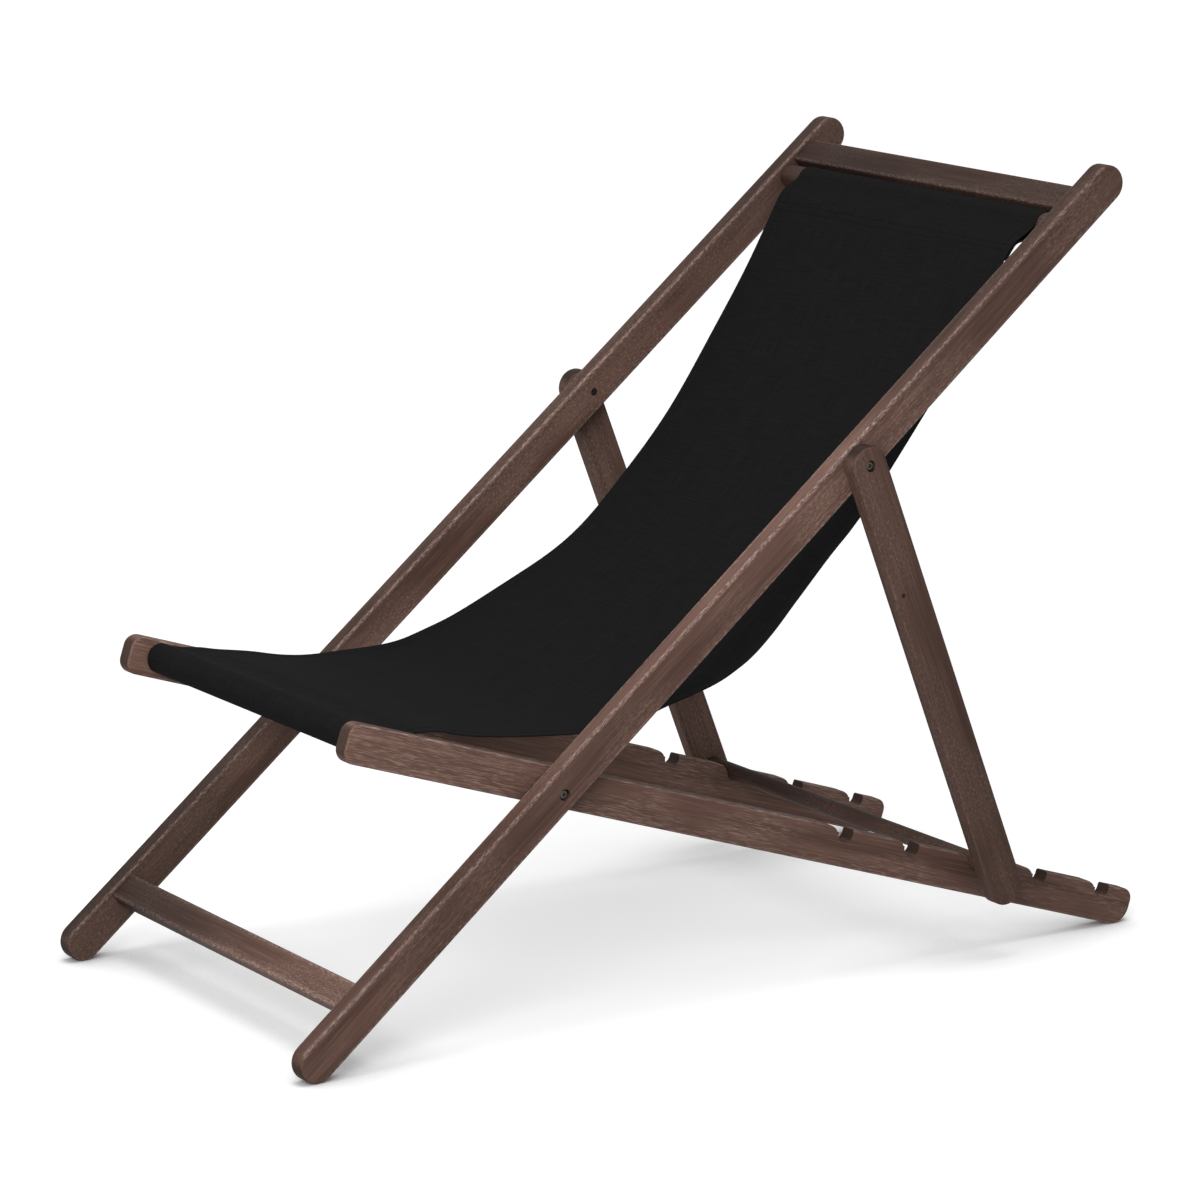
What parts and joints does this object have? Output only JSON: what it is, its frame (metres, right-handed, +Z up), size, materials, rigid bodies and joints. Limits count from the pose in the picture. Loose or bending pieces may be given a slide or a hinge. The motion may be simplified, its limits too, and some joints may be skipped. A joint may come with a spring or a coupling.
{
  "type": "deck chair",
  "caption": "Folding timber deck chair: two crossed rail frames, a prop frame that drops into notched rails, and a hanging canvas sling seat.",
  "frame": {"origin": "middle of the chair's footprint box on the floor, open in the middle notch", "axes": "+Z up, +Y to the rear where the back leans, +X to the sitter's left"},
  "size_m": [0.584, 1.085, 0.8631],
  "materials": {
    "timber": "dark brown stain, satin",
    "canvas": "black woven canvas, matt",
    "steel": "zinc plated"
  },
  "bodies": {
    "main_frame": {"main_rail_left": "timber", "main_rail_right": "timber", "head_crosspiece": "timber", "foot_crosspiece": "timber", "sling_rod": "timber", "sling": "canvas", "fold_bolt_left": "steel", "fold_bolt_right": "steel", "fold_nut_left": "steel", "fold_nut_right": "steel", "fold_washer_left": "steel", "fold_washer_right": "steel", "prop_bolt_left": "steel", "prop_bolt_right": "steel", "prop_nut_left": "steel", "prop_nut_right": "steel", "prop_washer_left": "steel", "prop_washer_right": "steel"},
    "seat_frame": {"seat_rail_left": "timber", "seat_rail_right": "timber", "seat_front_bar": "timber"},
    "prop_frame": {"prop_leg_left": "timber", "prop_leg_right": "timber", "prop_bar": "timber"}
  },
  "joints": [
    {"name": "seat_fold", "type": "hinge", "parent": "main_frame", "child": "seat_frame", "pos_m": [0, -0.2276, 0.25999], "axis": [1, 0, 0], "range_deg": [0, 57.75], "deforming": ["sling"]},
    {"name": "prop_swing", "type": "hinge", "parent": "main_frame", "child": "prop_frame", "pos_m": [0, 0.14005, 0.57016], "axis": [1, 0, 0], "range_deg": [-68.01, 0]}
  ],
  "couplings": [
    {"joint": "prop_swing", "follows": "seat_fold", "ratio": -1.1773}
  ]
}
